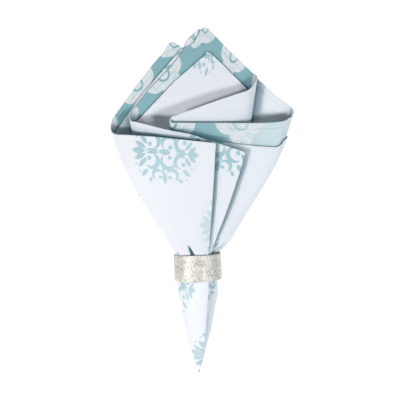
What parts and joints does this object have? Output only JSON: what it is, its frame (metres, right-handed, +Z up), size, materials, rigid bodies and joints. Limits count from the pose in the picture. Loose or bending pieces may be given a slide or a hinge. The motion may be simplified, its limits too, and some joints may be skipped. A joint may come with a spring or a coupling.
{
  "type": "cloth napkin in a ring",
  "caption": "Square cloth napkin folded in quarters, rolled into an open cone and held by a round metal ring; lies on its back on a table.",
  "frame": {"origin": "on the surface it lies on, under the middle of the length and width of the folded napkin", "axes": "+Y from the closed corner at the narrow tip towards the open corners, +X across the cone to the side whose wing lies underneath, +Z up, out of the front where the two wings overlap"},
  "size_m": [0.1848, 0.3498, 0.0468],
  "materials": {
    "cloth": "woven cotton, printed on both faces: pale medallions on white outside, large white motifs on soft blue inside",
    "metal": "satin silver colour with fine upright hammer strokes"
  },
  "bodies": {
    "root": {"napkin": "cloth", "ring": "metal"}
  },
  "joints": []
}
